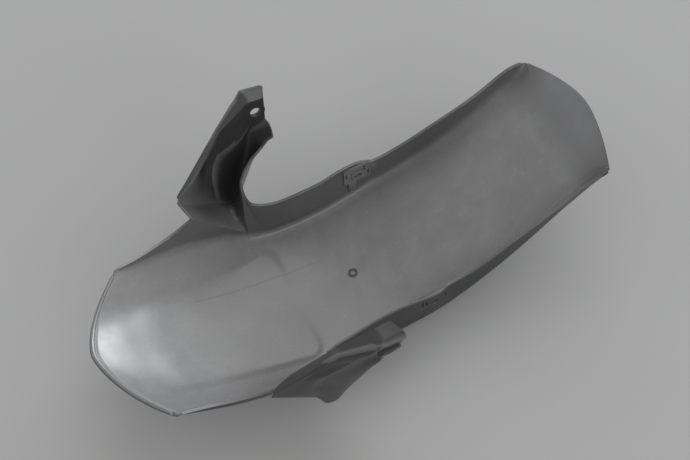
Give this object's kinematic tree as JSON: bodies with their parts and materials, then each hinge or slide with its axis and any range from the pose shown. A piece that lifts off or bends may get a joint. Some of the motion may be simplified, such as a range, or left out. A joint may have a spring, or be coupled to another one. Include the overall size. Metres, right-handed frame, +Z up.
{
  "type": "motorcycle front fender",
  "caption": "Moulded plastic front fender for a motorcycle, with side arms, side clips and flared side walls, lying on its back.",
  "frame": {"origin": "centre of the box that bounds the part, at the surface it lies on", "axes": "+X towards the fender's rear, +Y towards the side away from the picture's camera, +Z up, with the hollow side up"},
  "size_m": [0.4998, 0.2682, 0.1831],
  "materials": {
    "plastic": "moulded black plastic, satin, lightly scuffed inside"
  },
  "bodies": {
    "root": {"fender": "plastic"}
  },
  "joints": []
}
